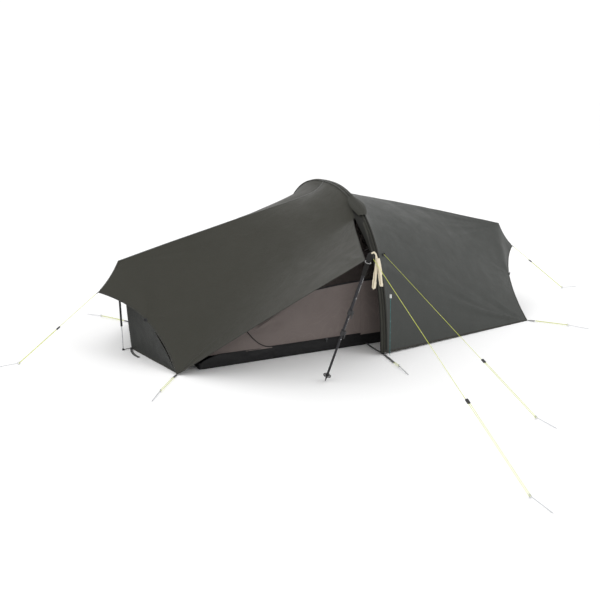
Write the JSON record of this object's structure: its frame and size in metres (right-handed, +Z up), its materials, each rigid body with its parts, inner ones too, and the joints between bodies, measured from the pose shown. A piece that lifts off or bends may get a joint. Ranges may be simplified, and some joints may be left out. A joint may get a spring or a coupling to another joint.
{
  "type": "tent",
  "caption": "Low single-hoop trekking tent, pitched, with two end struts, beak hoods and one door propped out as an awning on a telescopic walking pole.",
  "frame": {"origin": "on the ground directly under the top of the hoop, at the middle of the underside of the groundsheet", "axes": "+X along the ridge, -Y on the side of the open door, +Z up"},
  "size_m": [4.7248, 4.1158, 1.0513],
  "materials": {
    "fly_fabric": "matte",
    "inner_fabric": "matte",
    "inner_mesh": "matte",
    "floor_fabric": "satin",
    "black_webbing": "matte",
    "lime_cord": "matte",
    "teal_cord": "matte",
    "black_plastic": "satin",
    "white_plastic": "satin",
    "zip_metal": "satin",
    "bare_aluminium": "satin",
    "black_aluminium": "satin",
    "grip_rubber": "matte",
    "cream_webbing": "matte",
    "steel_ring": "satin"
  },
  "bodies": {
    "root": {"bathtub_wall_ends": "floor_fabric", "bathtub_wall_far": "floor_fabric", "bathtub_wall_near": "floor_fabric", "corner_cord_far_left": "lime_cord", "corner_cord_near_left": "lime_cord", "corner_cord_near_right": "lime_cord", "door_corner_ring": "steel_ring", "door_hood": "fly_fabric", "edge_tabs": "black_webbing", "end_strut_feet": "black_plastic", "end_strut_pockets": "black_webbing", "end_strut_rods": "bare_aluminium", "end_strut_sleeves": "black_webbing", "fly_beak_left": "fly_fabric", "fly_beak_right": "fly_fabric", "fly_end_walls": "fly_fabric", "fly_panel_far_left": "fly_fabric", "fly_panel_far_right": "fly_fabric", "fly_panel_near_left": "fly_fabric", "fly_panel_near_right": "fly_fabric", "ground_pegs": "bare_aluminium", "groundsheet": "floor_fabric", "guy_line_beak_left": "lime_cord", "guy_line_beak_right": "lime_cord", "guy_line_door": "lime_cord", "guy_line_hoop": "lime_cord", "hoop_foot_cord": "lime_cord", "hoop_pole_ferrules": "bare_aluminium", "hoop_pole_sections": "bare_aluminium", "hoop_pole_tips": "black_plastic", "hoop_sleeve": "fly_fabric", "inner_end_walls": "inner_fabric", "inner_hangers": "black_webbing", "inner_mesh_far": "inner_mesh", "inner_mesh_near": "inner_mesh", "inner_wall_far": "inner_fabric", "inner_wall_near": "inner_fabric", "pole_grip": "grip_rubber", "pole_upper_clamp": "black_plastic", "pole_upper_tube": "black_aluminium", "pole_wrist_strap": "cream_webbing", "strut_straps": "black_webbing", "webbing_loops": "black_webbing", "zip_tension_cord": "teal_cord"},
    "fly_door": {"fly_door": "fly_fabric"},
    "inner_door": {"inner_door": "inner_fabric"},
    "guy_runner_door": {"guy_runner_door": "black_plastic"},
    "guy_runner_hoop": {"guy_runner_hoop": "black_plastic"},
    "guy_runner_beak_left": {"guy_runner_beak_left": "black_plastic"},
    "guy_runner_beak_right": {"guy_runner_beak_right": "black_plastic"},
    "cord_lock": {"cord_lock": "white_plastic"},
    "inner_zip_slider": {"inner_zip_slider": "zip_metal"},
    "pole_middle": {"pole_middle_tube": "black_aluminium", "pole_lower_clamp": "black_plastic"},
    "pole_lower": {"pole_lower_tube": "black_aluminium", "pole_basket": "black_plastic", "pole_tip": "black_plastic"},
    "upper_lever": {"pole_upper_lever": "black_plastic"},
    "lower_lever": {"pole_lower_lever": "black_plastic"}
  },
  "joints": [
    {"name": "fly_door_swing", "type": "hinge", "parent": "root", "child": "fly_door", "pos_m": [-1.339, -0.646, 0], "axis": [0.831, 0.0658, 0.5524], "range_deg": [0, 52]},
    {"name": "inner_door_swing", "type": "hinge", "parent": "root", "child": "inner_door", "pos_m": [-0.0345, -0.6175, 0.2], "axis": [0, 0, -1], "range_deg": [0, 85]},
    {"name": "cord_lock_slide", "type": "slide", "parent": "root", "child": "cord_lock", "axis": [0, 0, 1], "range_m": [-0.3, 0]},
    {"name": "inner_zip_slide", "type": "slide", "parent": "root", "child": "inner_zip_slider", "axis": [1, 0, 0], "range_m": [-0.34, 0.2]},
    {"name": "pole_middle_slide", "type": "slide", "parent": "root", "child": "pole_middle", "axis": [0.1935, -0.296, 0.9354], "range_m": [0, 0.08]},
    {"name": "pole_lower_slide", "type": "slide", "parent": "pole_middle", "child": "pole_lower", "axis": [0.1935, -0.296, 0.9354], "range_m": [0, 0.14]},
    {"name": "upper_lever_flip", "type": "hinge", "parent": "root", "child": "upper_lever", "pos_m": [-0.45332, -1.3016, 0.4502], "axis": [-0.837, -0.5472, 0], "range_deg": [0, 100]},
    {"name": "lower_lever_flip", "type": "hinge", "parent": "pole_middle", "child": "lower_lever", "pos_m": [-0.48072, -1.2597, 0.32064], "axis": [-0.837, -0.5472, 0], "range_deg": [0, 100]},
    {"name": "guy_runner_door_slide", "type": "slide", "parent": "root", "child": "guy_runner_door", "axis": [-0.0031, -0.8791, -0.4766], "range_m": [-0.15, 0.15]},
    {"name": "guy_runner_hoop_slide", "type": "slide", "parent": "root", "child": "guy_runner_hoop", "axis": [0.0793, -0.9123, -0.4017], "range_m": [-0.15, 0.15]},
    {"name": "guy_runner_beak_left_slide", "type": "slide", "parent": "root", "child": "guy_runner_beak_left", "axis": [-0.7951, 0, -0.6065], "range_m": [-0.15, 0.15]},
    {"name": "guy_runner_beak_right_slide", "type": "slide", "parent": "root", "child": "guy_runner_beak_right", "axis": [0.7951, 0, -0.6065], "range_m": [-0.12, 0.15]}
  ]
}
